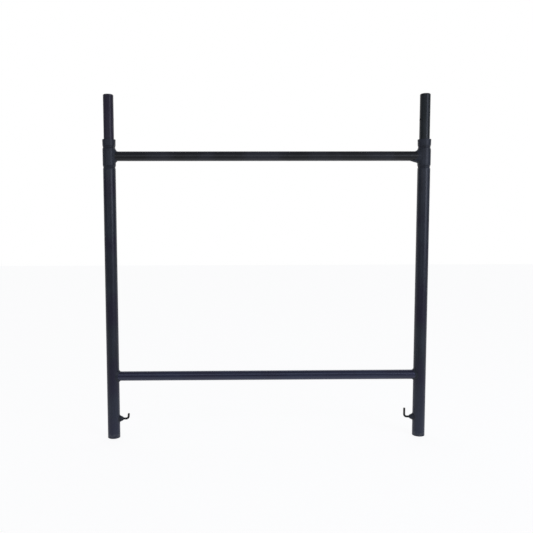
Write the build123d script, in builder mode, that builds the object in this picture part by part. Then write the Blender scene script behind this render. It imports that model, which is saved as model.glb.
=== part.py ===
from build123d import *

# Frame scaffold section: a welded tube panel with spigots and spring lock pins.
# Units are millimetres. +Z is up and +X runs from the left leg to the right leg.
# The origin is on the ground, midway between the two legs.

import os
from math import atan, degrees, radians, sin, tan

# ---------------------------------------------------------------- frame tubes
LEG_LENGTH = 1000.0
CLEAR_WIDTH = 1000.0  # between the inner faces of the two legs
LEG_OD = 41.3
LEG_WALL = 2.6
MOUTH_FLARE = 1.2  # how far the leg's top edge stands out
MOUTH_FLARE_LENGTH = 14.0

SPIGOT_OD = 33.7
SPIGOT_WALL = 2.6
LEFT_SPIGOT_EXPOSED = 145.0
RIGHT_SPIGOT_EXPOSED = 148.0  # set by hand, a little prouder
SPIGOT_INSERTED = 105.0
SPIGOT_TIP_CHAMFER = 1.8
SPIGOT_SHANK_STEP = 0.4  # how much the part inside the leg is turned down

CROSSBAR_OD = 31.75
CROSSBAR_WALL = 2.0
UPPER_CROSSBAR_DROP = 54.0  # below the leg's top
LOWER_CROSSBAR_Z = 211.0

# ------------------------------------------------- crimps that hold the spigots
CRIMP_DROPS = (26.0, 91.0)  # below the leg's top
CRIMP_TOOL_RADIUS = 10.0
CRIMP_TOOL_LENGTH = 30.0
CRIMP_BITE = 0.3  # how deep each dimple presses into the spigot's shank
CRIMP_COUNT = 4  # dimples in a row
LEFT_CRIMP_TURN = -9.0
RIGHT_CRIMP_TURN = 60.0

# ----------------------------------------------------------------------- welds
UPPER_WELD_LEG = 8.0
LOWER_WELD_LEG = 6.5
CUP_WELD_LEG = 4.5

# ------------------------------------------------- spring lock near each foot
LOCK_HEIGHT = 64.0  # above the foot, and above the leg's top in the spigot
ROD_OD = 7.0
ROD_TIP_CHAMFER = 1.0
ROD_HOLE_CLEARANCE = 0.4  # radial, in the leg and in the cup's mouth
SPIGOT_HOLE_CLEARANCE = 1.0  # radial, for the pin of the section above
LOCK_TRAVEL = 3.5
RELEASE_CLEARANCE = 0.65  # from the pulled pin to the spigot inside the leg
HANDLE_REACH = 49.7  # from the leg's axis to the upturned arm
HANDLE_BEND_RADIUS = 8.5
HANDLE_END_ROUND = 1.2
LEFT_ARM_HEIGHT = 18.0  # above the rod's centreline
RIGHT_ARM_HEIGHT = 30.5
LEFT_ARM_LEAN = 4.0  # degrees, away from the leg
RIGHT_ARM_LEAN = 0.0

CUP_RADIUS = 9.5
CUP_WALL = 1.2
CUP_SKIRT = 3.5  # straight part, from the leg's surface
CUP_HEIGHT = 12.2
CUP_BULGE = 0.4  # how far the dome stands out from a straight cone

CROSS_PIN_OD = 2.0
CROSS_PIN_BORE = 1.0
CROSS_PIN_SLOT = 0.4
CROSS_PIN_OVERHANG = 1.6  # past the rod, on each side
CROSS_PIN_SEAT = 0.35  # from the cross pin to the leg, with the lock shut
WASHER_THICKNESS = 1.0
WASHER_RIM = 0.4  # washer past the cross pin's ends
WASHER_GAP = 0.2
WASHER_BORE_CLEARANCE = 0.05
SPRING_WIRE = 0.8
SPRING_TURNS = 2.5
SPRING_ROD_CLEARANCE = 0.4  # radial, from the last coil to the rod
SPRING_SEAT_GAP = 0.1

# ------------------------------------------------------------------ worked out
LEG_RADIUS = LEG_OD / 2
LEG_BORE_RADIUS = LEG_RADIUS - LEG_WALL
SPIGOT_RADIUS = SPIGOT_OD / 2
SHANK_RADIUS = SPIGOT_RADIUS - SPIGOT_SHANK_STEP
CROSSBAR_RADIUS = CROSSBAR_OD / 2
LEG_SPACING = CLEAR_WIDTH + LEG_OD
ROD_RADIUS = ROD_OD / 2
ROD_HOLE_RADIUS = ROD_RADIUS + ROD_HOLE_CLEARANCE
UPPER_CROSSBAR_Z = LEG_LENGTH - UPPER_CROSSBAR_DROP

# A dimple presses the leg's wall down to the spigot and bites into it.
CRIMP_DEPTH = LEG_BORE_RADIUS - SHANK_RADIUS + CRIMP_BITE
CRIMP_TOOL_OFFSET = LEG_RADIUS - CRIMP_DEPTH + CRIMP_TOOL_RADIUS
CRIMP_BOSS_RADIUS = CRIMP_TOOL_RADIUS + LEG_WALL

# Places along the lock, measured from the leg's axis towards the frame's middle.
TIP_SHUT = SPIGOT_RADIUS + RELEASE_CLEARANCE - LOCK_TRAVEL
CROSS_PIN_RADIUS = CROSS_PIN_OD / 2
CROSS_PIN_AT = LEG_RADIUS + CROSS_PIN_SEAT + CROSS_PIN_RADIUS
CROSS_PIN_HALF = ROD_RADIUS + CROSS_PIN_OVERHANG
WASHER_AT = CROSS_PIN_AT + CROSS_PIN_RADIUS + WASHER_GAP
WASHER_RADIUS = CROSS_PIN_HALF + WASHER_RIM
SKIRT_END = LEG_RADIUS + CUP_SKIRT
CUP_END = LEG_RADIUS + CUP_HEIGHT
CUP_LAND = CUP_END - CUP_WALL / 2  # the mouth's straight land starts here
CUP_RIM_RADIUS = ROD_HOLE_RADIUS + CUP_WALL
CUP_CAVITY_RADIUS = CUP_RADIUS - CUP_WALL

# The spring's last coil seats where the cup's inner cone narrows to meet it.
COIL_RADIUS = SPRING_WIRE / 2
LAST_COIL_RADIUS = ROD_RADIUS + SPRING_ROD_CLEARANCE + COIL_RADIUS
FIRST_COIL_RADIUS = WASHER_RADIUS - COIL_RADIUS - SPRING_SEAT_GAP
CONE_SLOPE = (CUP_CAVITY_RADIUS - ROD_HOLE_RADIUS) / (CUP_LAND - SKIRT_END)
CONE_MEETS_COIL = CUP_LAND - (LAST_COIL_RADIUS - ROD_HOLE_RADIUS) / CONE_SLOPE
LAST_COIL_AT = CONE_MEETS_COIL - (COIL_RADIUS + SPRING_SEAT_GAP) / sin(atan(CONE_SLOPE))
FIRST_COIL_AT = WASHER_AT + WASHER_THICKNESS + COIL_RADIUS + SPRING_SEAT_GAP
SPRING_LENGTH = LAST_COIL_AT - FIRST_COIL_AT
SPRING_CONE = degrees(atan((LAST_COIL_RADIUS - FIRST_COIL_RADIUS) / SPRING_LENGTH))

SIDES = {
    "left": {
        "x": -LEG_SPACING / 2,
        "inward": 1,
        "spigot_exposed": LEFT_SPIGOT_EXPOSED,
        "crimp_turn": LEFT_CRIMP_TURN,
        "arm_height": LEFT_ARM_HEIGHT,
        "arm_lean": LEFT_ARM_LEAN,
    },
    "right": {
        "x": LEG_SPACING / 2,
        "inward": -1,
        "spigot_exposed": RIGHT_SPIGOT_EXPOSED,
        "crimp_turn": RIGHT_CRIMP_TURN,
        "arm_height": RIGHT_ARM_HEIGHT,
        "arm_lean": RIGHT_ARM_LEAN,
    },
}


def upright_plane(side, z):
    """Plane through a leg's axis: local x points to the frame's middle and local y up."""
    inward = side["inward"]
    return Plane(origin=(side["x"], 0, z), x_dir=(inward, 0, 0), z_dir=(0, -inward, 0))


def facing_plane(side, z, distance=0.0):
    """Plane that faces the frame's middle, at a distance from a leg's axis."""
    inward = side["inward"]
    origin = (side["x"] + inward * distance, 0, z)
    return Plane(origin=origin, x_dir=(0, inward, 0), z_dir=(inward, 0, 0))


def level_plane(side, z, distance=0.0):
    """Level plane, centred at a distance from a leg's axis."""
    return Plane((side["x"] + side["inward"] * distance, 0, z))


def leg_axis(side):
    return Axis((side["x"], 0, 0), (0, 0, 1))


def lock_axis(side):
    """The line that a lock pin slides along and turns on."""
    return Axis((side["x"], 0, LOCK_HEIGHT), (side["inward"], 0, 0))


def crimp_tools(side, tool_radius):
    """Round bars lying across a leg, one where each dimple is pressed."""
    with BuildPart() as tools:
        for drop in CRIMP_DROPS:
            row = Location((side["x"], 0, LEG_LENGTH - drop), (0, 0, side["crimp_turn"]))
            with Locations(row):
                with PolarLocations(CRIMP_TOOL_OFFSET, CRIMP_COUNT):
                    Cylinder(tool_radius, CRIMP_TOOL_LENGTH, rotation=(90, 0, 0))
    return tools.part


def crimp_bosses(side):
    """What the dimples push inward: the leg's wall, standing out inside its bore."""
    with BuildPart() as bosses:
        add(crimp_tools(side, CRIMP_BOSS_RADIUS))
        with BuildSketch(level_plane(side, 0)):
            Circle(LEG_BORE_RADIUS)
        extrude(amount=LEG_LENGTH, mode=Mode.INTERSECT)
    return bosses.part


def make_leg(side):
    mouth_start = LEG_LENGTH - MOUTH_FLARE_LENGTH
    outer_top = (LEG_RADIUS + MOUTH_FLARE, LEG_LENGTH)
    inner_top = (LEG_BORE_RADIUS + MOUTH_FLARE, LEG_LENGTH)
    dimples = crimp_tools(side, CRIMP_TOOL_RADIUS)
    bosses = crimp_bosses(side)
    with BuildPart() as leg:
        with BuildSketch(upright_plane(side, 0)):
            with BuildLine():
                Line((LEG_BORE_RADIUS, 0), (LEG_RADIUS, 0))
                Line((LEG_RADIUS, 0), (LEG_RADIUS, mouth_start))
                TangentArc((LEG_RADIUS, mouth_start), outer_top, tangent=(0, 1))
                Line(outer_top, inner_top)
                TangentArc((LEG_BORE_RADIUS, mouth_start), inner_top, tangent=(0, 1))
                Line((LEG_BORE_RADIUS, mouth_start), (LEG_BORE_RADIUS, 0))
            make_face()
        revolve(axis=leg_axis(side))
        add(bosses)
        add(dimples, mode=Mode.SUBTRACT)
        with BuildSketch(facing_plane(side, LOCK_HEIGHT)):
            Circle(ROD_HOLE_RADIUS)
        extrude(amount=LEG_OD, mode=Mode.SUBTRACT)
    return leg.part


def make_spigot(side):
    bottom = LEG_LENGTH - SPIGOT_INSERTED
    length = SPIGOT_INSERTED + side["spigot_exposed"]
    dents = crimp_tools(side, CRIMP_BOSS_RADIUS)
    with BuildPart() as spigot:
        with BuildSketch(level_plane(side, LEG_LENGTH)):
            Circle(SPIGOT_RADIUS)
        extrude(amount=side["spigot_exposed"])
        tip = spigot.edges().group_by(Axis.Z)[-1]
        chamfer(tip, SPIGOT_TIP_CHAMFER)
        with BuildSketch(level_plane(side, bottom)):
            Circle(SHANK_RADIUS)
        extrude(amount=SPIGOT_INSERTED)
        with BuildSketch(level_plane(side, bottom)):
            Circle(SPIGOT_RADIUS - SPIGOT_WALL)
        extrude(amount=length, mode=Mode.SUBTRACT)
        add(dents, mode=Mode.SUBTRACT)
        with BuildSketch(facing_plane(side, LEG_LENGTH + LOCK_HEIGHT)):
            Circle(ROD_RADIUS + SPIGOT_HOLE_CLEARANCE)
        extrude(amount=SPIGOT_OD, both=True, mode=Mode.SUBTRACT)
    return spigot.part


def make_crossbar(z):
    """Tube between the legs, coped at both ends to the legs' round faces."""
    with BuildPart() as crossbar:
        with BuildSketch(Plane.YZ.offset(-LEG_SPACING / 2)):
            with Locations((0, z)):
                Circle(CROSSBAR_RADIUS)
                Circle(CROSSBAR_RADIUS - CROSSBAR_WALL, mode=Mode.SUBTRACT)
        extrude(amount=LEG_SPACING)
        for side in SIDES.values():
            with BuildSketch(level_plane(side, z - CROSSBAR_OD)):
                Circle(LEG_RADIUS)
            extrude(amount=2 * CROSSBAR_OD, mode=Mode.SUBTRACT)
    return crossbar.part


def make_tee_weld(side, z, branch_radius, weld_leg):
    """Fillet weld that fills the corner all round a branch standing on a leg."""
    reach = LEG_RADIUS + branch_radius + weld_leg
    with BuildPart() as weld:
        with BuildSketch(level_plane(side, z - reach)):
            Circle(LEG_RADIUS)
        extrude(amount=2 * reach)
        with BuildSketch(facing_plane(side, z)):
            Circle(branch_radius)
        extrude(amount=reach)
        corner = weld.edges().filter_by(GeomType.BSPLINE)
        chamfer(corner, weld_leg)
        with BuildSketch(level_plane(side, z - reach)):
            Circle(LEG_RADIUS)
        extrude(amount=2 * reach, mode=Mode.SUBTRACT)
        with BuildSketch(facing_plane(side, z)):
            Circle(branch_radius)
        extrude(amount=reach, mode=Mode.SUBTRACT)
    return weld.part


def make_lock_cup(side):
    """Pressed cup over the spring, with a coped base and a mouth for the rod."""
    skirt_edge = (SKIRT_END, CUP_RADIUS)
    rim_edge = (CUP_END, CUP_RIM_RADIUS)
    land_start = (CUP_LAND, ROD_HOLE_RADIUS)
    cavity_edge = (SKIRT_END, CUP_CAVITY_RADIUS)
    with BuildPart() as cup:
        with BuildSketch(upright_plane(side, LOCK_HEIGHT)):
            with BuildLine():
                Line((0, CUP_RADIUS), skirt_edge)
                SagittaArc(skirt_edge, rim_edge, CUP_BULGE)
                Line(rim_edge, (CUP_END, ROD_HOLE_RADIUS))
                Line((CUP_END, ROD_HOLE_RADIUS), land_start)
                SagittaArc(cavity_edge, land_start, CUP_BULGE)
                Line(cavity_edge, (0, CUP_CAVITY_RADIUS))
                Line((0, CUP_CAVITY_RADIUS), (0, CUP_RADIUS))
            make_face()
        revolve(axis=lock_axis(side))
        with BuildSketch(level_plane(side, LOCK_HEIGHT - CUP_RADIUS * 2)):
            Circle(LEG_RADIUS)
        extrude(amount=CUP_RADIUS * 4, mode=Mode.SUBTRACT)
    return cup.part


def make_lock_pin(side):
    """Round rod: a straight pin through the cup, bent up into a J-shaped pull."""
    lean_offset = side["arm_height"] * tan(radians(side["arm_lean"]))
    corner = (HANDLE_REACH, 0)
    arm_end = (HANDLE_REACH + lean_offset, side["arm_height"])
    with BuildPart() as pin:
        with BuildLine(upright_plane(side, LOCK_HEIGHT)):
            FilletPolyline((TIP_SHUT, 0), corner, arm_end, radius=HANDLE_BEND_RADIUS)
        with BuildSketch(facing_plane(side, LOCK_HEIGHT, TIP_SHUT)):
            Circle(ROD_RADIUS)
        sweep()
        ends = pin.faces().filter_by(GeomType.PLANE)
        chamfer(ends.sort_by(Axis.Z)[0].edges(), ROD_TIP_CHAMFER)
        fillet(ends.sort_by(Axis.Z)[-1].edges(), HANDLE_END_ROUND)
        with BuildSketch(level_plane(side, LOCK_HEIGHT, CROSS_PIN_AT)):
            Circle(CROSS_PIN_RADIUS)
        extrude(amount=ROD_OD, both=True, mode=Mode.SUBTRACT)
    return pin.part


def make_cross_pin(side):
    """Slotted spring pin through the rod, which the washer pushes on."""
    with BuildPart() as cross_pin:
        with BuildSketch(level_plane(side, LOCK_HEIGHT, CROSS_PIN_AT)):
            Circle(CROSS_PIN_RADIUS)
            Circle(CROSS_PIN_BORE / 2, mode=Mode.SUBTRACT)
            with Locations((0, CROSS_PIN_RADIUS)):
                Rectangle(CROSS_PIN_SLOT, CROSS_PIN_OD, mode=Mode.SUBTRACT)
        extrude(amount=CROSS_PIN_HALF, both=True)
    return cross_pin.part


def make_washer(side):
    with BuildPart() as washer:
        with BuildSketch(facing_plane(side, LOCK_HEIGHT, WASHER_AT)):
            Circle(WASHER_RADIUS)
            Circle(ROD_RADIUS + WASHER_BORE_CLEARANCE, mode=Mode.SUBTRACT)
        extrude(amount=WASHER_THICKNESS)
    return washer.part


def make_spring(side):
    """Compression spring round the rod, narrower towards the cup's mouth."""
    inward = side["inward"]
    start = (side["x"] + inward * FIRST_COIL_AT, 0, LOCK_HEIGHT)
    with BuildPart() as spring:
        with BuildLine() as coil:
            Helix(
                pitch=SPRING_LENGTH / SPRING_TURNS,
                height=SPRING_LENGTH,
                radius=FIRST_COIL_RADIUS,
                center=start,
                direction=(inward, 0, 0),
                cone_angle=SPRING_CONE,
            )
        with BuildSketch(Plane(origin=coil.line @ 0, z_dir=coil.line % 0)):
            Circle(COIL_RADIUS)
        sweep(is_frenet=True)
    return spring.part


def finish(piece, name):
    piece.label = name
    export_step(piece, f"parts/{name}.step")


os.makedirs("parts", exist_ok=True)
finish(make_crossbar(UPPER_CROSSBAR_Z), "upper_crossbar")
finish(make_crossbar(LOWER_CROSSBAR_Z), "lower_crossbar")
for side_name, side in SIDES.items():
    upper_weld = make_tee_weld(side, UPPER_CROSSBAR_Z, CROSSBAR_RADIUS, UPPER_WELD_LEG)
    lower_weld = make_tee_weld(side, LOWER_CROSSBAR_Z, CROSSBAR_RADIUS, LOWER_WELD_LEG)
    cup_weld = make_tee_weld(side, LOCK_HEIGHT, CUP_RADIUS, CUP_WELD_LEG)
    finish(make_leg(side), f"{side_name}_leg")
    finish(make_spigot(side), f"{side_name}_spigot")
    finish(upper_weld, f"{side_name}_upper_weld")
    finish(lower_weld, f"{side_name}_lower_weld")
    finish(make_lock_cup(side), f"{side_name}_lock_cup")
    finish(cup_weld, f"{side_name}_cup_weld")
    finish(make_lock_pin(side), f"{side_name}_lock_pin")
    finish(make_cross_pin(side), f"{side_name}_cross_pin")
    finish(make_washer(side), f"{side_name}_lock_washer")
    finish(make_spring(side), f"{side_name}_lock_spring")
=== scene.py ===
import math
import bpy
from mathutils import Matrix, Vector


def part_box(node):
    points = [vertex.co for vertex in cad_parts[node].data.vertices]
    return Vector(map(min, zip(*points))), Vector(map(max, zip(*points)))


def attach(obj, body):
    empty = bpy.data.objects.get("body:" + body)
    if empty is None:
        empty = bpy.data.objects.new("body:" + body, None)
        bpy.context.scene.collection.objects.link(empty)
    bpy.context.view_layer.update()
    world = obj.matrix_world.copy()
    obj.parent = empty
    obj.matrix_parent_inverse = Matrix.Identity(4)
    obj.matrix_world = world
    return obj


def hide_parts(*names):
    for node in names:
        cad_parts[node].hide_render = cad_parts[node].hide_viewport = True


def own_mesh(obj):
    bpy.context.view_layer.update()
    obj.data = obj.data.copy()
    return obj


bl_info = {
    "name": "Frame scaffold section finishes",
    "version": (1, 0, 0),
    "blender": (4, 5, 0),
    "location": "3D View > Sidebar > Scaffold",
    "description": "Crimped legs, weld beads, enamel and a plain stage for a welded scaffold frame",
    "category": "Object",
}

import bpy
from bpy.props import FloatProperty, FloatVectorProperty, IntProperty, PointerProperty
from mathutils import Matrix, Vector

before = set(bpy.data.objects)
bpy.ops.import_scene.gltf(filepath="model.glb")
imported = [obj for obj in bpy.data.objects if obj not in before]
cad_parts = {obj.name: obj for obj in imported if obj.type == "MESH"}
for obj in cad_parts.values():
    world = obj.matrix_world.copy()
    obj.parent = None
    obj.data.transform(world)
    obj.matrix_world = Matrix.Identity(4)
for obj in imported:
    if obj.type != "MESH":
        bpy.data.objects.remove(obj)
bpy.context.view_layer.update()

MM = 0.001
SIDES = ("left", "right")
INWARD = {"left": 1.0, "right": -1.0}  # the way along X from each leg to the frame's middle
CLOUD_SEED = 5.0  # picks where the enamel's clouds lie
MATH, RANGE, MIX, NOISE = "ShaderNodeMath", "ShaderNodeMapRange", "ShaderNodeMix", "ShaderNodeTexNoise"
SOCKET_KINDS = {float: "NodeSocketFloat", int: "NodeSocketInt", tuple: "NodeSocketVector"}


# ---------------------------------------------------------------- small tools
def linear(hex_colour):
    """An sRGB hex colour as linear red, green, blue and alpha."""
    channels = [int(hex_colour[i : i + 2], 16) / 255 for i in (1, 3, 5)]
    bent = [c / 12.92 if c <= 0.04045 else ((c + 0.055) / 1.055) ** 2.4 for c in channels]
    return (*bent, 1.0)


# The last of these colours is painted shade, laid into the crimps' dimples.
SCUFF_GREY, PALE_LOW_COAT, DIMPLE_SHADE = linear("#3C4049"), linear("#4A4F62"), linear("#0B0B0F")


def in_use(sockets, key):
    """The socket of that name or number, among those that a node's settings leave in use."""
    live = [socket for socket in sockets if socket.enabled]
    return live[key] if isinstance(key, int) else next(socket for socket in live if socket.name == key)


def fill(tree, socket, value):
    """Sets a socket to a plain value, or links it to a node's first output or a (node, output) pair."""
    node, output = value if isinstance(value, tuple) and isinstance(value[0], bpy.types.Node) else (value, 0)
    if isinstance(node, bpy.types.Node):
        tree.links.new(in_use(node.outputs, output), socket)
    else:
        socket.default_value = value


def add_node(tree, kind, inputs=(), **settings):
    """Adds one node with its settings. inputs fill its sockets, in their order or by name."""
    node = tree.nodes.new(kind)
    for key, value in settings.items():
        setattr(node, key, value)
    for key, value in inputs.items() if isinstance(inputs, dict) else enumerate(inputs):
        fill(tree, in_use(node.inputs, key), value)
    return node


def new_finish(name, looks):
    """A new material's tree and its shader, with these plain values on the shader."""
    material = bpy.data.materials.new(name)
    material.use_nodes = True
    shader = material.node_tree.nodes["Principled BSDF"]
    for key, value in looks.items():
        shader.inputs[key].default_value = value
    return material.node_tree, shader


def middle_of(node):
    """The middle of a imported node's box."""
    low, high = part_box(node)
    return (low + high) / 2


def leg_x(side):
    """Where a leg's axis stands along X."""
    return middle_of(f"{side}_leg").x


def mesh_object(name, points, faces, attributes=None):
    """A smooth-shaded mesh object at the origin, with point attributes for its node tree."""
    mesh = bpy.data.meshes.new(name)
    mesh.from_pydata(points, [], faces)
    mesh.update()
    for key, (kind, values) in (attributes or {}).items():
        field = "vector" if kind == "FLOAT_VECTOR" else "value"
        flat = [c for v in values for c in v] if kind == "FLOAT_VECTOR" else values
        mesh.attributes.new(key, kind, "POINT").data.foreach_set(field, flat)
    piece = bpy.data.objects.new(name, mesh)
    bpy.context.scene.collection.objects.link(piece)
    return piece


def bake_nodes(piece, tree, values):
    """Runs a geometry tree on a piece with these inputs, and keeps the plain mesh it gives."""
    modifier = piece.modifiers.new("rule", "NODES")
    modifier.node_group = tree
    for item in tree.interface.items_tree:
        if item.item_type == "SOCKET" and item.in_out == "INPUT" and item.name in values:
            modifier[item.identifier] = values[item.name]
    depsgraph = bpy.context.evaluated_depsgraph_get()
    made = bpy.data.meshes.new_from_object(piece.evaluated_get(depsgraph))
    piece.modifiers.remove(modifier)
    piece.data = made
    made.shade_smooth()
    made.set_sharp_from_angle(angle=math.radians(40))
    for attribute in list(made.attributes):
        if attribute.name == "inner" or attribute.name in BEAD_ATTRIBUTES:
            made.attributes.remove(attribute)


def geometry_tree(name, sockets):
    """A new geometry tree with these named inputs and defaults, None for a material; and its input node."""
    tree = bpy.data.node_groups.new(name, "GeometryNodeTree")
    tree.interface.new_socket("Geometry", in_out="INPUT", socket_type="NodeSocketGeometry")
    tree.interface.new_socket("Geometry", in_out="OUTPUT", socket_type="NodeSocketGeometry")
    for label, default in sockets.items():
        kind = SOCKET_KINDS.get(type(default), "NodeSocketMaterial")
        socket = tree.interface.new_socket(label, in_out="INPUT", socket_type=kind)
        if default is not None:
            socket.default_value = default
    return tree, add_node(tree, "NodeGroupInput")


def end_rule(tree, given, shape):
    """Ends a geometry tree: makes its shape real, gives it its finish and hands it on."""
    real = add_node(tree, "GeometryNodeRealizeInstances", [shape])
    finished = add_node(tree, "GeometryNodeSetMaterial", {"Geometry": real, "Material": (given, "Finish")})
    add_node(tree, "NodeGroupOutput", [finished])
    return tree


def dress(node, material):
    """Gives a carried-over node its finish."""
    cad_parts[node].material_slots[0].material = material


# -------------------------------------------------------------------- finishes
def enamel(
    name, coats, steel, stretch, wear_zones=(), gloss=0.3, shine=0.3, tint=(1.0, 1.0, 1.0, 1.0),
    lined=0.45, peeled=1.0, brushed_from=None, paler_below=None,
):
    """Navy-black air-drying enamel sprayed over drawn steel tube.

    To the eye: semi-gloss and almost black, with faint orange peel, long soft streaks where
    the coat ran thin along the tube, clouds with a violet or grey cast, dull handling scuffs,
    and bare steel where ends rub. coats are the colours of the full coat, the thin coat and
    the clouds. stretch is the streak's size along x, y and z in metres. Each wear zone is
    the height where it starts to show, the height where it is fullest, and its strength.
    gloss is the coat's roughness, shine and tint are the level and the colour of its gloss,
    a low lined value draws the streaks sharper, and peeled is the share of orange peel and
    scuffs. Above brushed_from the coat was put on by brush over the welds' heat marks, and is
    duller. Below the height in the last argument the coat is mixed paler towards the bottom.
    """
    full, thin, cast = coats
    looks = {"IOR": 1.5, "Specular IOR Level": shine, "Specular Tint": tint}
    tree, shader = new_finish(name, looks)
    place = (add_node(tree, "ShaderNodeTexCoord"), "Object")
    height = (add_node(tree, "ShaderNodeSeparateXYZ", {"Vector": place}), "Z")
    streak_space = add_node(tree, "ShaderNodeMapping", {"Scale": [1 / s for s in stretch], "Vector": place})
    streaks = add_node(tree, NOISE, {"Vector": streak_space, "Scale": 1.0, "Detail": 4.0, "Roughness": 0.55})
    # Patches about 45 mm across, where the coat is thicker or thinner.
    patches = add_node(tree, NOISE, {"Vector": place, "Scale": 22.0, "Detail": 3.0})
    # Orange peel cells are about 1.2 mm on the real coat; drawn at 2.5 mm so that they show.
    peel = add_node(tree, NOISE, {"Vector": place, "Scale": 400.0, "Detail": 1.0})
    # Scuffs and dust nibs, 5 to 10 mm apart.
    scuffs = add_node(tree, NOISE, {"Vector": place, "Scale": 130.0, "Detail": 6.0, "Roughness": 0.7})
    scuff_mask = add_node(tree, RANGE, [scuffs, 0.6, 0.72, 0.0, peeled])
    blend = add_node(tree, MATH, [patches, 0.5 * peeled, streaks], operation="MULTIPLY_ADD")
    middle = 0.47 + 0.25 * peeled
    tone = add_node(tree, RANGE, [blend, middle - lined / 2, middle + lined / 2])
    coat = add_node(tree, MIX, [tone, full, thin], data_type="RGBA")
    # Clouds of another cast, about 120 mm across.
    clouds = {"Vector": place, "W": CLOUD_SEED, "Scale": 8.0, "Detail": 2.0}
    clouds = add_node(tree, NOISE, clouds, noise_dimensions="4D")
    cloudy = add_node(tree, RANGE, [clouds, 0.47, 0.6, 0.0, 0.9])
    coat = add_node(tree, MIX, [cloudy, coat, cast], data_type="RGBA")
    scuffed = add_node(tree, MATH, [scuff_mask, 0.35], operation="MULTIPLY")
    coat = add_node(tree, MIX, [scuffed, coat, SCUFF_GREY], data_type="RGBA")
    # Below the given height the coat is mixed paler towards the bottom.
    if paler_below:
        paler_share = add_node(tree, RANGE, [height, 0.0, paler_below, 0.5, 0.0])
        coat = add_node(tree, MIX, [paler_share, coat, PALE_LOW_COAT], data_type="RGBA")
    rough = add_node(tree, RANGE, [streaks, 0.35, 0.65, gloss - 0.05, gloss + 0.07])
    rough = add_node(tree, MATH, [scuff_mask, 0.16, rough], operation="MULTIPLY_ADD")
    # Pressed dimples and the waist between them get painted shade, a darker coat, and are also made duller.
    pressed = add_node(tree, "ShaderNodeAttribute", attribute_name="pressed")
    dimple_shade = add_node(tree, MATH, [(pressed, "Fac"), 0.95], operation="MULTIPLY", use_clamp=True)
    coat = add_node(tree, MIX, [dimple_shade, coat, DIMPLE_SHADE], data_type="RGBA")
    rough = add_node(tree, MATH, [dimple_shade, 0.15, rough], operation="MULTIPLY_ADD")
    if brushed_from:
        brushed = add_node(tree, RANGE, [height, brushed_from - 2 * MM, brushed_from + 2 * MM])
        rough = add_node(tree, MATH, [brushed, 0.1, rough], operation="MULTIPLY_ADD")
    bare = None
    for start, fullest, strength in wear_zones:
        zone = add_node(tree, RANGE, [height, start, fullest])
        wear = add_node(tree, MATH, [zone, strength], operation="MULTIPLY")
        wear = add_node(tree, MATH, [wear, scuffs], operation="ADD")
        mask = add_node(tree, RANGE, [wear, 0.7, 0.76, 0.0, 0.7])
        bare = add_node(tree, MATH, [bare, mask], operation="MAXIMUM") if bare else mask
    if bare:
        coat = add_node(tree, MIX, [bare, coat, steel], data_type="RGBA")
        metal = add_node(tree, MATH, [bare, 0.8], operation="MULTIPLY")
        fill(tree, shader.inputs["Metallic"], metal)
    relief = add_node(tree, MATH, [streaks, 2.0, peel], operation="MULTIPLY_ADD")
    bump = add_node(
        tree, "ShaderNodeBump", {"Strength": 0.55 * peeled, "Distance": 0.06 * MM, "Height": relief}
    )
    fill(tree, shader.inputs["Base Color"], coat)
    fill(tree, shader.inputs["Roughness"], rough)
    fill(tree, shader.inputs["Normal"], bump)


def weld_enamel(name, paint, lighter, gloss=0.34):
    """The same enamel lying over weld metal.

    To the eye: darker in the low places of its lumpy bump and paler on their crests, as painted
    shade and painted sheen, with fine pimples of spatter under the coat.
    """
    tree, shader = new_finish(name, {"IOR": 1.5, "Specular IOR Level": 0.3})
    place = (add_node(tree, "ShaderNodeTexCoord"), "Object")
    # Lumps about 3 mm across and pimples just under 1 mm across.
    lumps = add_node(tree, NOISE, {"Vector": place, "Scale": 330.0, "Detail": 5.0, "Roughness": 0.65})
    pimples = add_node(tree, "ShaderNodeTexVoronoi", {"Scale": 1100.0, "Vector": place})
    point = add_node(tree, RANGE, [(pimples, "Distance"), 0.0, 0.35, 1.0, 0.0])
    relief = add_node(tree, MATH, [point, 0.35, lumps], operation="MULTIPLY_ADD")
    bump = add_node(tree, "ShaderNodeBump", {"Strength": 0.7, "Distance": 0.25 * MM, "Height": relief})
    # Painted shade in the low places of the lumps, painted sheen on their crests.
    crest_sheen = add_node(tree, RANGE, [lumps, 0.38, 0.66])
    coat = add_node(tree, MIX, [crest_sheen, paint, lighter], data_type="RGBA")
    rough = add_node(tree, RANGE, [lumps, 0.3, 0.7, gloss - 0.06, gloss + 0.14])
    fill(tree, shader.inputs["Base Color"], coat)
    fill(tree, shader.inputs["Roughness"], rough)
    fill(tree, shader.inputs["Normal"], bump)


def bare_steel(name, colour, darker, roughness, grain):
    """Unpainted steel: zinc plate on small pressings, or oiled spring wire.

    To the eye: grey metal with a fine directional grain and darker cloudy patches of oxide.
    grain is the size of a scratch along x, y and z.
    """
    tree, shader = new_finish(name, {"Metallic": 1.0})
    place = (add_node(tree, "ShaderNodeTexCoord"), "Object")
    space = add_node(tree, "ShaderNodeMapping", {"Scale": [1 / g for g in grain], "Vector": place})
    scratches = add_node(tree, NOISE, {"Vector": space, "Scale": 1.0, "Detail": 6.0, "Roughness": 0.6})
    # Clouds of oxide 3 mm across.
    clouds = add_node(tree, NOISE, {"Vector": place, "Scale": 330.0, "Detail": 3.0})
    bump = add_node(tree, "ShaderNodeBump", {"Strength": 0.3, "Distance": 0.04 * MM, "Height": scratches})
    clear = add_node(tree, RANGE, [clouds, 0.35, 0.65])
    metal = add_node(tree, MIX, [clear, darker, colour], data_type="RGBA")
    rough = add_node(tree, RANGE, [scratches, 0.0, 1.0, roughness - 0.1, roughness + 0.12])
    fill(tree, shader.inputs["Base Color"], metal)
    fill(tree, shader.inputs["Roughness"], rough)
    fill(tree, shader.inputs["Normal"], bump)


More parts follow.
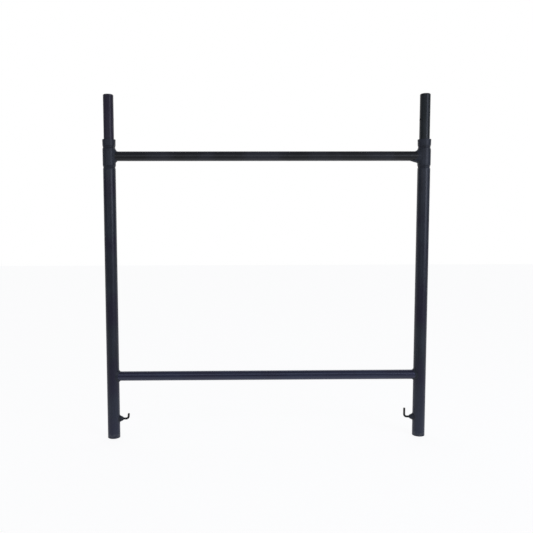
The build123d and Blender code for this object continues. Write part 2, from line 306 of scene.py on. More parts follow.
def floor_finish(colour):
    """Matt pale studio floor.

    To the eye: a white sheet with a light shadow. The gloss of the tubes finds it paler
    behind the frame than in front, as a floor that is lit from behind.
    """
    looks = {"Roughness": 0.9, "Specular IOR Level": 0.0, "Emission Color": (1.0, 1.0, 1.0, 1.0)}
    tree, shader = new_finish("matt_studio_floor", looks)
    ray = add_node(tree, "ShaderNodeLightPath")
    in_view = (ray, "Is Camera Ray")
    shade = add_node(tree, MIX, [in_view, colour, (0.16, 0.16, 0.16, 1.0)], data_type="RGBA")
    place = add_node(tree, "ShaderNodeNewGeometry")
    place = add_node(tree, "ShaderNodeSeparateXYZ", {"Vector": (place, "Position")})
    pale = add_node(tree, RANGE, [(place, "Y"), -1.0, 0.1, 0.04, 0.46])
    glossy = [(ray, "Is Glossy Ray"), (ray, "Is Transmission Ray")]
    glossy = add_node(tree, MATH, glossy, operation="MAXIMUM")
    glossy = add_node(tree, MATH, [glossy, pale], operation="MULTIPLY")
    seen = add_node(tree, MATH, [in_view, 0.9, glossy], operation="MULTIPLY_ADD")
    fill(tree, shader.inputs["Base Color"], shade)
    fill(tree, shader.inputs["Emission Strength"], seen)


def finishes():
    """All finishes of the frame, made once from the colours in the panel."""
    if "enamel_upright_tube" in bpy.data.materials:
        return bpy.data.materials
    colours = bpy.context.scene.scaffold_colours

    def picked(*keys):
        return tuple(tuple(getattr(colours, key)) for key in keys)

    steel, zinc, worn = picked("steel", "zinc", "worn_pull")
    paint = picked("paint", "paint_light", "paint_violet")
    both_ends = ((0.017, 0.013, 0.24), (0.994, 1.004, 0.2))
    enamel(
        "enamel_upright_tube", paint, steel, (0.007, 0.007, 0.2), both_ends, brushed_from=0.903, paler_below=0.28
    )
    # Planks and boots rub the upper bar's coat down to its charcoal ground coat, in long lines.
    charcoal = picked("charcoal", "charcoal_light", "paint")
    enamel(
        "enamel_upper_bar", charcoal, steel, (0.3, 0.0045, 0.0045),
        gloss=0.22, shine=0.56, lined=0.2, peeled=0.1,
    )
    # The lower bar's coats and the colour of its gloss are tinted blue: a painted reflection of the sky over
    # it.
    sky_blued_coat = picked("sky_blued_coat", "sky_blued_thin_coat", "dusty_violet")
    enamel(
        "enamel_lower_bar", sky_blued_coat, steel, (0.3, 0.0055, 0.0055),
        gloss=0.2, shine=1.0, tint=linear("#D8E0FF"), lined=0.2, peeled=0.1,
    )
    # Each spigot was painted before it was pressed in, from another tin.
    plum = picked("plum", "plum_light", "plum_light")
    olive = picked("olive", "olive_light", "olive")
    top_rim, pull_arm = ((1.13, 1.15, 0.2),), ((0.068, 0.078, 0.45),)
    enamel("enamel_left_spigot", plum, steel, (0.004, 0.004, 0.07), top_rim)
    enamel("enamel_right_spigot", olive, steel, (0.004, 0.004, 0.07))
    enamel("enamel_lock", paint, steel, (0.012, 0.006, 0.006), gloss=0.4)
    # Fingers wear the pulls' upturned arms to grey.
    black_rod = (linear("#121214"), linear("#1C1C1F"), linear("#17171A"))
    enamel("enamel_pull_rod", black_rod, worn, (0.012, 0.004, 0.004), pull_arm, gloss=0.36)
    weld_enamel("enamel_on_weld", paint[0], paint[1])
    bare_steel("zinc_plate", zinc, steel, 0.34, (0.4 * MM, 1.2 * MM, 1.2 * MM))
    bare_steel("oiled_spring_wire", steel, linear("#2B2C30"), 0.3, (0.6 * MM, 0.6 * MM, 0.6 * MM))
    floor_finish(tuple(colours.floor))
    return bpy.data.materials


# ------------------------------------------------------------ crimped leg tubes
def crimp_tree():
    """Rule for a leg: press round-bottomed dimples into a tube and drill it for the lock."""
    sockets = {
        "Axis X": 0.0,
        "Radius": 20.65 * MM,
        "Wall": 2.6 * MM,
        "Upper Row": 0.974,
        "Lower Row": 0.909,
        "Turn": 0.0,
        "Depth": 1.9 * MM,
        "Tool Radius": 10.0 * MM,
        "Softness": 0.5 * MM,
        "Unevenness": 0.2,
        "Waist": 1.2 * MM,
        "Waist Above": 9.0 * MM,
        "Waist Below": 4.5 * MM,
        "Seed": 7,
        "Lock Height": 0.064,
        "Lock Hole Radius": 3.9 * MM,
        "Inward": 1.0,
        "Finish": None,
    }
    tree, given = geometry_tree("crimped_leg", sockets)
    xyz = add_node(tree, "ShaderNodeSeparateXYZ", [add_node(tree, "GeometryNodeInputPosition")])
    inner = add_node(tree, "GeometryNodeInputNamedAttribute", {"Name": "inner"}, data_type="FLOAT")
    local_x = add_node(tree, MATH, [(xyz, "X"), (given, "Axis X")], operation="SUBTRACT")
    angle = add_node(tree, MATH, [(xyz, "Y"), local_x], operation="ARCTAN2")
    angle = add_node(tree, MATH, [angle, (given, "Turn")], operation="SUBTRACT")
    quarter = add_node(tree, MATH, [angle, math.pi / 2], operation="DIVIDE")
    quarter = add_node(tree, MATH, [quarter], operation="ROUND")
    facing = add_node(tree, MATH, [quarter, math.pi / 2, (given, "Turn")], operation="MULTIPLY_ADD")
    way_x = add_node(tree, MATH, [facing], operation="COSINE")
    way_y = add_node(tree, MATH, [facing], operation="SINE")
    reach = add_node(tree, MATH, [local_x, way_x], operation="MULTIPLY")
    reach = add_node(tree, MATH, [(xyz, "Y"), way_y, reach], operation="MULTIPLY_ADD")
    # Height from the nearer row of dimples.
    above = add_node(tree, MATH, [(xyz, "Z"), (given, "Upper Row")], operation="SUBTRACT")
    below = add_node(tree, MATH, [(xyz, "Z"), (given, "Lower Row")], operation="SUBTRACT")
    above = add_node(tree, MATH, [above], operation="ABSOLUTE")
    below = add_node(tree, MATH, [below], operation="ABSOLUTE")
    off_row = add_node(tree, MATH, [above, below], operation="MINIMUM")
    row = add_node(tree, MATH, [above, below], operation="LESS_THAN")
    # Each dimple is struck by hand, so each is a little deeper or shallower.
    turn = add_node(tree, MATH, [quarter, 4.0], operation="FLOORED_MODULO")
    which = add_node(tree, MATH, [row, 4.0, turn], operation="MULTIPLY_ADD")
    strike = {"Min": -1.0, "Max": 0.0, "ID": which, "Seed": (given, "Seed")}
    strike = add_node(tree, "FunctionNodeRandomValue", strike, data_type="FLOAT")
    strike = add_node(tree, MATH, [strike, (given, "Unevenness"), 1.0], operation="MULTIPLY_ADD")
    depth = add_node(tree, MATH, [strike, (given, "Depth")], operation="MULTIPLY")
    tool = add_node(tree, MATH, [inner, (given, "Wall"), (given, "Tool Radius")], operation="MULTIPLY_ADD")
    tool_sq = add_node(tree, MATH, [tool, tool], operation="MULTIPLY")
    off_sq = add_node(tree, MATH, [off_row, off_row], operation="MULTIPLY")
    left_over = add_node(tree, MATH, [tool_sq, off_sq], operation="SUBTRACT")
    left_over = add_node(tree, MATH, [left_over, 0.0], operation="MAXIMUM")
    under = add_node(tree, MATH, [left_over], operation="SQRT")
    skin = add_node(tree, MATH, [inner, (given, "Wall")], operation="MULTIPLY")
    floor = add_node(tree, MATH, [(given, "Radius"), skin], operation="SUBTRACT")
    floor = add_node(tree, MATH, [floor, depth], operation="SUBTRACT")
    floor = add_node(tree, MATH, [floor, tool], operation="ADD")
    floor = add_node(tree, MATH, [floor, under], operation="SUBTRACT")
    pressed = add_node(tree, MATH, [reach, floor, (given, "Softness")], operation="SMOOTH_MIN")
    push = add_node(tree, MATH, [pressed, reach], operation="SUBTRACT")
    near = add_node(tree, MATH, [off_row, tool], operation="LESS_THAN")
    push = add_node(tree, MATH, [push, near], operation="MULTIPLY")
    push_x = add_node(tree, MATH, [push, way_x], operation="MULTIPLY")
    push_y = add_node(tree, MATH, [push, way_y], operation="MULTIPLY")
    offset = add_node(tree, "ShaderNodeCombineXYZ", {"X": push_x, "Y": push_y})
    # Between the dimples the strikes also draw the tube in to a waist, steeper on its lower side.
    over = add_node(tree, MATH, [(xyz, "Z"), (given, "Lower Row")], operation="SUBTRACT")
    under_row = add_node(tree, MATH, [(xyz, "Z"), (given, "Upper Row")], operation="SUBTRACT")
    from_row = add_node(tree, "GeometryNodeSwitch", [row, over, under_row], input_type="FLOAT")
    upside = add_node(tree, MATH, [from_row, 0.0], operation="GREATER_THAN")
    waist_reach = [upside, (given, "Waist Below"), (given, "Waist Above")]
    waist_reach = add_node(tree, "GeometryNodeSwitch", waist_reach, input_type="FLOAT")
    waist = add_node(tree, RANGE, [off_row, 0.0, waist_reach, 1.0, 0.0], interpolation_type="SMOOTHSTEP")
    share = add_node(tree, MATH, [push, (given, "Depth")], operation="DIVIDE")
    share = add_node(tree, MATH, [share, 1.0], operation="ADD", use_clamp=True)
    drawn = add_node(tree, MATH, [waist, share], operation="MULTIPLY")
    drawn = add_node(tree, MATH, [drawn, (given, "Waist")], operation="MULTIPLY")
    drawn = add_node(tree, MATH, [drawn, -1.0], operation="MULTIPLY")
    spoke = add_node(tree, "ShaderNodeCombineXYZ", {"X": local_x, "Y": (xyz, "Y")})
    spoke = add_node(tree, "ShaderNodeVectorMath", [spoke], operation="NORMALIZE")
    inward = add_node(tree, "ShaderNodeVectorMath", {0: spoke, "Scale": drawn}, operation="SCALE")
    offset = add_node(tree, "ShaderNodeVectorMath", [offset, inward], operation="ADD")
    struck = add_node(tree, "GeometryNodeSetPosition", {"Geometry": (given, "Geometry"), "Offset": offset})
    # How deep each spot was pressed, which the enamel paints as shade: 1 and over near a dimple's bottom.
    pressed = add_node(tree, MATH, [push, (given, "Depth")], operation="DIVIDE")
    pressed = add_node(tree, MATH, [pressed, -2.8], operation="MULTIPLY")
    pressed = add_node(tree, MATH, [waist, 0.3, pressed], operation="MULTIPLY_ADD")
    kept = {"Geometry": struck, "Name": "pressed", "Value": pressed}
    struck = add_node(tree, "GeometryNodeStoreNamedAttribute", kept, data_type="FLOAT", domain="POINT")
    # The hole for the lock's pin, through the wall that faces the frame's middle.
    drill = {"Vertices": 48, "Radius": (given, "Lock Hole Radius"), "Depth": 24 * MM}
    drill = add_node(tree, "GeometryNodeMeshCylinder", drill)
    drill_x = add_node(tree, MATH, [(given, "Inward"), (given, "Radius")], operation="MULTIPLY")
    drill_x = add_node(tree, MATH, [drill_x, (given, "Axis X")], operation="ADD")
    drill_at = add_node(tree, "ShaderNodeCombineXYZ", {"X": drill_x, "Z": (given, "Lock Height")})
    drill = {"Geometry": drill, "Translation": drill_at, "Rotation": (0.0, math.pi / 2, 0.0)}
    drill = add_node(tree, "GeometryNodeTransform", drill)
    drilled = add_node(
        tree, "GeometryNodeMeshBoolean", [struck, drill], operation="DIFFERENCE", solver="EXACT"
    )
    return end_rule(tree, given, drilled)


def leg_section(sizes, length):
    """Closed outline of the leg's wall: radius, height, and whether it is the inner skin.

    Above its lower crimps the leg is a little swollen by the strikes, and flared at the mouth.
    """
    outer, bore = sizes.leg_diameter / 2, sizes.leg_diameter / 2 - sizes.leg_wall
    edge = 0.45 * MM  # both ends are saw-cut and lightly filed
    plain_step, crimped_step, crimped_length = 20 * MM, 1.3 * MM, 112 * MM
    crimped_from = length - crimped_length
    flare_from = length - sizes.flare_length
    swell_from, swell_rise = length - sizes.lower_crimp_drop - 1 * MM, 8 * MM
    heights = [plain_step * i for i in range(1, int(crimped_from / plain_step) + 1)]
    heights += [crimped_from + crimped_step * i for i in range(1, int(crimped_length / crimped_step) + 1)]
    heights = [h for h in heights if edge < h < length - edge]

    def flare(z):
        swollen = min(1.0, max(0.0, (z - swell_from) / swell_rise))
        swollen *= swollen * (3 - 2 * swollen)
        opened = max(0.0, (z - flare_from) / sizes.flare_length) ** 2
        return sizes.crimped_swell * swollen + (sizes.mouth_flare - sizes.crimped_swell) * opened

    corner = [i * math.pi / 8 for i in range(5)]
    ring = [(outer - edge + edge * math.sin(a), edge - edge * math.cos(a), 0.0) for a in corner]
    ring += [(outer + flare(z), z, 0.0) for z in heights]
    mouth, top = flare(length), length - edge
    ring += [(outer + mouth - edge + edge * math.cos(a), top + edge * math.sin(a), 0.0) for a in corner]
    ring += [(bore + mouth + edge - edge * math.sin(a), top + edge * math.cos(a), 1.0) for a in corner]
    ring += [(bore + flare(z), z, 1.0) for z in reversed(heights)]
    ring += [(bore + edge - edge * math.cos(a), edge - edge * math.sin(a), 1.0) for a in corner]
    return ring


def turned(name, section, axis_x, around):
    """Revolves a closed outline about an upright axis."""
    points, inner, faces = [], [], []
    for radius, z, skin in section:
        for k in range(around):
            a = 2 * math.pi * k / around
            points.append((axis_x + radius * math.cos(a), radius * math.sin(a), z))
            inner.append(skin)
    rings = len(section)
    for i in range(rings):
        for k in range(around):
            a, b = i * around, ((i + 1) % rings) * around
            n = (k + 1) % around
            faces.append((a + k, a + n, b + n, b + k))
    return mesh_object(name, points, faces, {"inner": ("FLOAT", inner)})


class SCAFFOLD_OT_legs(bpy.types.Operator):
    """Makes both leg tubes, with flared mouths, crimps and lock holes"""

    bl_idname = "scaffold.legs"
    bl_label = "Crimped legs"

    def execute(self, context):
        sizes = context.scene.scaffold_sizes
        tree = crimp_tree()
        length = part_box("left_leg")[1].z
        section = leg_section(sizes, length)
        for side in SIDES:
            leg = turned(f"{side}_leg_crimped", section, leg_x(side), around=96)
            values = {
                "Axis X": leg_x(side),
                "Radius": sizes.leg_diameter / 2,
                "Wall": sizes.leg_wall,
                "Upper Row": length - sizes.upper_crimp_drop,
                "Lower Row": length - sizes.lower_crimp_drop,
                "Turn": sizes.left_crimp_turn if side == "left" else sizes.right_crimp_turn,
                "Depth": sizes.crimp_depth,
                "Tool Radius": sizes.crimp_tool_radius,
                "Seed": sizes.seed + (0 if side == "left" else 1),
                "Lock Height": middle_of(f"{side}_lock_cup").z,
                "Inward": INWARD[side],
                "Finish": finishes()["enamel_upright_tube"],
            }
            bake_nodes(leg, tree, values)
            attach(leg, "frame")
            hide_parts(f"{side}_leg")
        return {"FINISHED"}


# ------------------------------------------------------------------ weld beads
# What each point of a bead knows: its distance round the branch, its place across the bead from
# -1 at one toe to 1 at the other, whether it shows, and the ways out of the bead and across it.
BEAD_ATTRIBUTES = {
    "arc": "FLOAT",
    "across": "FLOAT",
    "show": "FLOAT",
    "lift": "FLOAT_VECTOR",
    "along": "FLOAT_VECTOR",
}


def ripple_tree():
    """Rule for a bead: crescent ripples, uneven toes and lumps along a smooth fillet."""
    sockets = {
        "Pitch": 2.6 * MM,
        "Ripple Height": 0.45 * MM,
        "Scallop": 0.5 * MM,
        "Lump Height": 0.8 * MM,
        "Lump Size": 7.0 * MM,
        "Seed": 3,
        "Finish": None,
    }
    tree, given = geometry_tree("weld_ripples", sockets)
    arc, across, show, lift, along = (
        add_node(tree, "GeometryNodeInputNamedAttribute", {"Name": name}, data_type=kind)
        for name, kind in BEAD_ATTRIBUTES.items()
    )
    at = add_node(tree, "GeometryNodeInputPosition")
    seed = add_node(tree, MATH, [(given, "Seed"), 3.7], operation="MULTIPLY")  # far apart for each bead
    lump_scale = add_node(tree, MATH, [1.0, (given, "Lump Size")], operation="DIVIDE")
    lumps = {"Vector": at, "W": seed, "Scale": lump_scale, "Detail": 2.0}
    lumps = add_node(tree, NOISE, lumps, noise_dimensions="4D")
    lump = add_node(tree, MATH, [lumps, 0.5], operation="SUBTRACT")
    lump = add_node(tree, MATH, [lump, 2.0], operation="MULTIPLY")
    square = add_node(tree, MATH, [across, across], operation="MULTIPLY")
    edge = add_node(tree, MATH, [1.0, square], operation="SUBTRACT")
    edge = add_node(tree, MATH, [edge, 0.0], operation="MAXIMUM")
    edge_root = add_node(tree, MATH, [edge, 0.6], operation="POWER")
    # The ripples are crescents: the middle of each lags behind its two toes.
    phase = add_node(tree, MATH, [arc, (given, "Pitch")], operation="DIVIDE")
    phase = add_node(tree, MATH, [square, 0.7, phase], operation="MULTIPLY_ADD")
    phase = add_node(tree, MATH, [lump, 0.5, phase], operation="MULTIPLY_ADD")
    step = add_node(tree, MATH, [phase], operation="FRACT")
    crest = add_node(tree, MATH, [step, math.pi], operation="MULTIPLY")
    crest = add_node(tree, MATH, [crest], operation="SINE")
    crest = add_node(tree, MATH, [crest, 0.7], operation="POWER")
    rise = add_node(tree, MATH, [crest, (given, "Ripple Height")], operation="MULTIPLY")
    rise = add_node(tree, MATH, [rise, edge_root], operation="MULTIPLY")
    swell = add_node(tree, MATH, [lump, (given, "Lump Height")], operation="MULTIPLY")
    swell = add_node(tree, MATH, [swell, edge], operation="MULTIPLY")
    rise = add_node(tree, MATH, [rise, swell], operation="ADD")
    rise = add_node(tree, MATH, [rise, show], operation="MULTIPLY")
    toes = add_node(tree, MATH, [crest, across], operation="MULTIPLY")
    toes = add_node(tree, MATH, [toes, (given, "Scallop")], operation="MULTIPLY")
    toes = add_node(tree, MATH, [toes, show], operation="MULTIPLY")
    up = add_node(tree, "ShaderNodeVectorMath", {0: lift, "Scale": rise}, operation="SCALE")
    out = add_node(tree, "ShaderNodeVectorMath", {0: along, "Scale": toes}, operation="SCALE")
    offset = add_node(tree, "ShaderNodeVectorMath", [up, out], operation="ADD")
    rippled = add_node(tree, "GeometryNodeSetPosition", {"Geometry": (given, "Geometry"), "Offset": offset})
    return end_rule(tree, given, rippled)


def fillet(name, side, z, leg_radius, branch_radius, bar_toe, leg_toe, sagging):
    """A smooth weld fillet round a branch that stands on a leg.

    bar_toe and leg_toe give how far the weld reaches along the branch and along the leg,
    for an angle measured round the branch from its top. A sagging weld is hollow on top and
    bulges at its underside.
    """
    axis, inward = leg_x(side), INWARD[side]
    around, tops = 280, 15  # stations round the branch, and points across the bead's face
    sunk = 0.12 * MM  # toes end just under the tubes' skins
    root = 0.7 * MM  # how deep the bead bites into both tubes
    points, arc, across, show, lift, along, faces = [], [], [], [], [], [], []
    run = 0.0
    for j in range(around):
        angle = 2 * math.pi * j / around
        radial = Vector((0, math.sin(angle), math.cos(angle)))
        y, dz = branch_radius * radial.y, branch_radius * radial.z
        x = math.sqrt(leg_radius**2 - y**2)
        corner = Vector((x, y, dz))
        # On the leg's skin, unrolled flat, the branch's outline has this outward normal.
        wrap = math.asin(y / leg_radius)
        tangent = Vector((branch_radius * math.cos(angle) / math.cos(wrap), -branch_radius * math.sin(angle)))
        outward = Vector((-tangent.y, tangent.x)).normalized()
        reach = leg_toe(angle)
        turn = wrap + outward.x * reach / leg_radius
        on_leg = Vector((leg_radius * math.cos(turn), leg_radius * math.sin(turn), dz + outward.y * reach))
        leg_normal = Vector((math.cos(turn), math.sin(turn), 0))
        on_bar = corner + Vector((bar_toe(angle), 0, 0))
        up = (radial + leg_normal).normalized()
        chord = on_leg - on_bar
        mid = (on_leg + on_bar) / 2
        below = math.atan2(math.sin(angle - math.pi), math.cos(angle - math.pi))
        # The face is a little hollow, but fills out below where the metal sagged.
        hollow = 0.3 - sagging * math.exp(-((below / 0.8) ** 2))
        sag = hollow * max(0.0, (mid - corner).dot(up))
        run += branch_radius * 2 * math.pi / around
        for i in range(tops):
            v = i / (tops - 1)
            point = on_bar + chord * v - up * (sag * 4 * v * (1 - v))
            if i in (0, tops - 1):
                point -= up * sunk
            points.append(point)
            across.append(2 * v - 1)
            show.append(0.0 if i in (0, tops - 1) else 1.0)
            arc.append(run)
            lift.append(up)
            along.append(chord.normalized())
        leg_root = Vector((math.cos(wrap), math.sin(wrap), 0))
        for point in (
            on_leg - leg_normal * root, corner - (radial + leg_root) * root, on_bar - radial * root
        ):
            points.append(point)
            across.append(0.0)
            show.append(0.0)
            arc.append(run)
            lift.append(up)
            along.append(up)
    ring = tops + 3
    for j in range(around):
        n = (j + 1) % around
        for i in range(ring):
            m = (i + 1) % ring
            quad = (j * ring + i, j * ring + m, n * ring + m, n * ring + i)
            faces.append(quad if inward > 0 else quad[::-1])
    placed = [Vector((axis + inward * p.x, p.y, z + p.z)) for p in points]
    lift = [Vector((inward * v.x, v.y, v.z)) for v in lift]
    along = [Vector((inward * v.x, v.y, v.z)) for v in along]
    columns = zip(BEAD_ATTRIBUTES.items(), (arc, across, show, lift, along))
    return mesh_object(name, placed, faces, {key: (kind, column) for (key, kind), column in columns})


def toe(reach, uneven=0.12, run_off=0.0, run_width=0.7, phase=0.0):
    """How far a hand-laid weld reaches, by the angle round the branch.

    run_off is how much further it runs at the underside, where metal sagged before it set.
    """

    def at(angle):
        # One slow waver of the welder's hand and one quick one.
        wander = 1 + uneven * (0.6 * math.sin(2 * angle + phase) + 0.4 * math.sin(5 * angle + 2 * phase))
        below = math.atan2(math.sin(angle - math.pi), math.cos(angle - math.pi))
        return reach * wander + run_off * math.exp(-((below / run_width) ** 2))

    return at


class SCAFFOLD_OT_welds(bpy.types.Operator):
    """Lays a rippled bead round each crossbar end and each lock cup"""

    bl_idname = "scaffold.welds"
    bl_label = "Weld beads"

    def execute(self, context):
        sizes = context.scene.scaffold_sizes
        tree = ripple_tree()
        leg_radius = sizes.leg_diameter / 2
        bar = sizes.crossbar_diameter / 2
        cup = (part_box("left_lock_cup")[1].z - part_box("left_lock_cup")[0].z) / 2
        upper, lower, small = sizes.upper_weld_leg, sizes.lower_weld_leg, sizes.cup_weld_leg
        upper_z, lower_z = middle_of("upper_crossbar").z, middle_of("lower_crossbar").z
        lock_z = middle_of("left_lock_cup").z
        lump_height, lump_size = 0.6 * MM, 8 * MM
        sagged = toe(1.3 * upper, phase=2.1, run_off=15 * MM)
        # Side, place, height, branch radius, reach along the branch and the leg, and scale of the ripples.
        beads = [
            ("left", "upper", upper_z, bar, toe(0.85 * upper, phase=0.4), toe(1.0 * upper, phase=1.0), 1.0),
            ("right", "upper", upper_z, bar, sagged, toe(0.95 * upper, phase=0.2), 1.0),
            ("left", "lower", lower_z, bar, toe(0.85 * lower, phase=1.7), toe(0.95 * lower, phase=2.6), 0.9),
            ("right", "lower", lower_z, bar, toe(0.9 * lower, phase=0.9), toe(0.9 * lower, phase=1.9), 0.9),
            ("left", "cup", lock_z, cup, toe(0.8 * small, phase=0.7), toe(0.95 * small, phase=1.1), 0.6),
            ("right", "cup", lock_z, cup, toe(0.85 * small, phase=1.5), toe(0.9 * small, phase=0.3), 0.6),
        ]
        for number, (side, place, z, radius, bar_toe, leg_toe, scale) in enumerate(beads):
            sagging = 0.25 if (side, place) == ("right", "upper") else 0.0
            bead = fillet(f"{side}_{place}_weld_bead", side, z, leg_radius, radius, bar_toe, leg_toe, sagging)
            values = {
                "Pitch": sizes.ripple_pitch * scale,
                "Ripple Height": sizes.ripple_height * scale,
                "Scallop": sizes.ripple_height * scale,
                "Lump Height": lump_height * scale,
                "Lump Size": lump_size * scale,
                "Seed": sizes.seed + number,
                "Finish": finishes()["enamel_on_weld"],
            }
            bake_nodes(bead, tree, values)
            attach(bead, "frame")
            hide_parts(f"{side}_{place}_weld")
        return {"FINISHED"}


# ----------------------------------------------------------- carried-over tubes
class SCAFFOLD_OT_tubes(bpy.types.Operator):
    """Paints the crossbars and the spigots"""

    bl_idname = "scaffold.tubes"
    bl_label = "Crossbars and spigots"

    def execute(self, context):
        dress("upper_crossbar", finishes()["enamel_upper_bar"])
        dress("lower_crossbar", finishes()["enamel_lower_bar"])
        for side in SIDES:
            dress(f"{side}_spigot", finishes()[f"enamel_{side}_spigot"])
        return {"FINISHED"}


class SCAFFOLD_OT_locks(bpy.types.Operator):
    """Finishes the spring locks' cups, pulls, cross pins and washers"""

    bl_idname = "scaffold.locks"
    bl_label = "Spring locks"

    def execute(self, context):
        for side in SIDES:
            dress(f"{side}_lock_cup", finishes()["enamel_lock"])
            dress(f"{side}_lock_pin", finishes()["enamel_pull_rod"])
            dress(f"{side}_cross_pin", finishes()["zinc_plate"])
            dress(f"{side}_lock_washer", finishes()["zinc_plate"])
        return {"FINISHED"}


# --------------------------------------------------------------- lock springs
def coil_tree():
    """Rule for a lock spring: wire wound on a narrowing spiral, and laid along X from the washer."""
    sockets = {
        "Turns": 2.5,
        "First Radius": 5.0 * MM,
        "Last Radius": 4.3 * MM,
        "Length": 5.8 * MM,
        "Wire Radius": 0.4 * MM,
        "Start Turn": (0.0, 0.0, 0.0),
        "Facing": (0.0, 0.0, 0.0),
        "Start": (0.0, 0.0, 0.0),
        "Finish": None,
    }
    tree, given = geometry_tree("lock_spring_rule", sockets)
    path = {
        "Resolution": 40,  # points on each turn
        "Rotations": (given, "Turns"),
        "Start Radius": (given, "First Radius"),
        "End Radius": (given, "Last Radius"),
        "Height": (given, "Length"),
        "Reverse": True,
    }
    winding = add_node(tree, "GeometryNodeCurveSpiral", path)
    started = add_node(
        tree, "GeometryNodeTransform", {"Geometry": winding, "Rotation": (given, "Start Turn")}
    )
    place = {"Geometry": started, "Rotation": (given, "Facing"), "Translation": (given, "Start")}
    laid = add_node(tree, "GeometryNodeTransform", place)
    wire = add_node(
        tree, "GeometryNodeCurvePrimitiveCircle", {"Resolution": 14, "Radius": (given, "Wire Radius")}
    )
    swept = add_node(
        tree, "GeometryNodeCurveToMesh", {"Curve": laid, "Profile Curve": wire, "Fill Caps": True}
    )
    return end_rule(tree, given, swept)


class SCAFFOLD_OT_springs(bpy.types.Operator):
    """Winds the lock springs, fixed in their rest shape; on the real locks they close up as the pulls are
    drawn
    """

    bl_idname = "scaffold.springs"
    bl_label = "Lock springs"

    def execute(self, context):
        sizes = context.scene.scaffold_sizes
        tree = coil_tree()
        wire = sizes.spring_wire / 2
        for side in SIDES:
            low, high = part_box(f"{side}_lock_spring")
            near, far = (low.x, high.x) if INWARD[side] > 0 else (high.x, low.x)
            lock_z = middle_of(f"{side}_lock_cup").z
            spring = mesh_object(f"{side}_lock_spring_coil", [], [])
            values = {
                "Turns": sizes.spring_turns,
                "First Radius": sizes.spring_radius,
                "Last Radius": sizes.spring_radius - sizes.spring_taper,
                "Length": abs(far - near) - 2 * wire,
                "Wire Radius": wire,
                "Start Turn": (0.0, 0.0, math.pi),
                "Facing": (0.0, INWARD[side] * math.pi / 2, 0.0),
                "Start": (near + INWARD[side] * wire, 0.0, lock_z),
                "Finish": finishes()["oiled_spring_wire"],
            }
            bake_nodes(spring, tree, values)
            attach(spring, "frame")
            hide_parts(f"{side}_lock_spring")
            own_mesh(spring)
        return {"FINISHED"}


# ----------------------------------------------------------------------- stage
def studio_world():
    """A plain room: a white wall behind, and in front darkness with a dim, cool sky over it."""
    world = bpy.data.worlds.new("plain_studio")
    bpy.context.scene.world = world
    world.use_nodes = True
    tree = world.node_tree
    tree.nodes.clear()
    place = add_node(tree, "ShaderNodeTexCoord")
    way = add_node(tree, "ShaderNodeSeparateXYZ", {"Vector": (place, "Generated")})
    # In front: dark up to just over the horizon, then the sky, which fades towards the top.
    smooth = {"interpolation_type": "SMOOTHSTEP"}
    rising = add_node(tree, RANGE, [(way, "Z"), 0.08, 0.22], **smooth)
    sky = add_node(tree, RANGE, [(way, "Z"), 0.6, 0.96, 0.35, 0.2], **smooth)
    front = add_node(tree, MATH, [rising, sky, 0.05], operation="MULTIPLY_ADD")
    wall = add_node(tree, RANGE, [(way, "Y"), 0.3, 0.75], **smooth)
    room = add_node(tree, MIX, [wall, front, 1.0], data_type="FLOAT")
    # The camera sees plain white wherever it looks.
    in_view = (add_node(tree, "ShaderNodeLightPath"), "Is Camera Ray")
    white = add_node(tree, MATH, [wall, in_view], operation="MAXIMUM")
    tint = add_node(tree, MIX, [white, linear("#E9EEFF"), (1.0, 1.0, 1.0, 1.0)], data_type="RGBA")
    shown = add_node(tree, MATH, [room, in_view], operation="MAXIMUM")
    back = add_node(tree, "ShaderNodeBackground", {"Color": tint, "Strength": shown})
    add_node(tree, "ShaderNodeOutputWorld", {"Surface": back})


def softbox(name, place, target, width, height, power, colour):
    """A soft lamp of this width and height, which the camera itself doesn't see."""
    light = bpy.data.lights.new(name, "AREA")
    light.shape, light.size, light.size_y = "RECTANGLE", width, height
    light.energy, light.color = power, colour
    lamp = bpy.data.objects.new(name, light)
    bpy.context.scene.collection.objects.link(lamp)
    lamp.location = place
    lamp.rotation_euler = (Vector(target) - Vector(place)).to_track_quat("-Z", "Y").to_euler()
    lamp.visible_camera = False


class SCAFFOLD_OT_stage(bpy.types.Operator):
    """Sets up the floor, the soft light and the camera"""

    bl_idname = "scaffold.stage"
    bl_label = "Stage"

    def execute(self, context):
        scene = context.scene
        reach, under = 9.0, 0.2 * MM  # the floor's half width, and how far it lies below the feet
        corners = [(-reach, -reach, 0), (reach, -reach, 0), (reach, reach, 0), (-reach, reach, 0)]
        floor = mesh_object("studio_floor", corners, [(0, 1, 2, 3)])
        floor.location.z = -under
        floor.data.materials.append(finishes()["matt_studio_floor"])
        studio_world()
        # A soft window to the right of the viewer, a little cool.
        window_blue, strip_blue = (0.74, 0.79, 1.0), (0.9, 0.94, 1.0)
        softbox(
            "key_softbox", (2.6, -2.7, 1.3), (0, 0, 0.6), width=1.8, height=1.8, power=30, colour=window_blue
        )
        # A low, wide strip close in front, which draws the line of gloss along each bar.
        strip = (0, -0.95, 1.02)
        softbox("bar_strip", strip, (0, 0, strip[2]), width=4.0, height=0.3, power=2.6, colour=strip_blue)
        camera = bpy.data.objects.new("camera", bpy.data.cameras.new("camera"))
        scene.collection.objects.link(camera)
        view_width, focal_length, film_width = 533, 600, 36.0  # in pixels, pixels and millimetres
        camera.data.sensor_width = film_width
        camera.data.lens = film_width * focal_length / view_width
        camera.data.shift_x, camera.data.shift_y = 0.0623, 0.0098
        camera.data.clip_start, camera.data.clip_end = 0.01, 60
        camera.location = (-0.1426, -2.0036, 0.7163)
        down, right, roll = math.radians(4.359), math.radians(0.844), math.radians(-0.149)
        aim = Vector((math.sin(right) * math.cos(down), math.cos(right) * math.cos(down), -math.sin(down)))
        turn = aim.to_track_quat("-Z", "Y").to_matrix() @ Matrix.Rotation(roll, 3, "Z")
        camera.rotation_euler = turn.to_euler()
        scene.camera = camera
        scene.view_settings.view_transform = "Standard"
        return {"FINISHED"}


